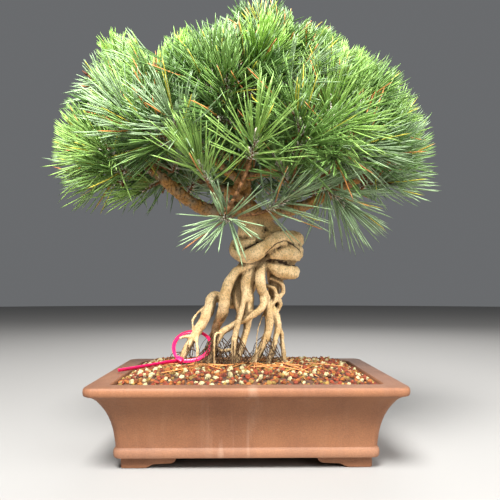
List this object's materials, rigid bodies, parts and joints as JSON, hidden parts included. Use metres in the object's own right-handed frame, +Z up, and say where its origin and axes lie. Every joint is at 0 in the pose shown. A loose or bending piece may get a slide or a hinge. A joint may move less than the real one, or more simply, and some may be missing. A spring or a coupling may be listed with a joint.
{
  "type": "japanese black pine bonsai",
  "caption": "Exposed-root Japanese black pine bonsai with a knotted trunk and a dense needle crown, planted in gravel in a rectangular unglazed pot.",
  "frame": {"origin": "centre of the pot's footprint on the surface that it stands on", "axes": "+Z up, +X to the right of the pot's front, +Y to its back"},
  "size_m": [0.5137, 0.3898, 0.5848],
  "materials": {
    "stoneware": "matte unglazed mauve-brown stoneware",
    "gravel": "matte mixed lava, clay and pumice grains",
    "bark": "rough tan-grey bark",
    "young_bark": "flaky orange-brown bark",
    "needles": "satin green needles",
    "nylon": "glossy pink nylon"
  },
  "bodies": {
    "root": {"pot": "stoneware", "soil": "gravel", "trunk": "bark", "bough_left": "young_bark", "bough_right": "young_bark", "bough_front_low": "young_bark", "bough_front_left": "young_bark", "bough_front_right": "young_bark", "bough_front": "young_bark", "bough_back_left": "young_bark", "bough_back_right": "young_bark", "bough_back": "young_bark", "bough_upper_left": "young_bark", "bough_upper_right": "young_bark", "bough_outer_left": "young_bark", "bough_upper_back": "young_bark", "needles_left": "needles", "needles_right": "needles", "needles_front_low": "needles", "needles_front_left": "needles", "needles_front_right": "needles", "needles_front": "needles", "needles_back_left": "needles", "needles_back_right": "needles", "needles_back": "needles", "needles_upper_left": "needles", "needles_upper_right": "needles", "needles_outer_left": "needles", "needles_upper_back": "needles", "needles_top": "needles", "cable_tie": "nylon"}
  },
  "joints": []
}
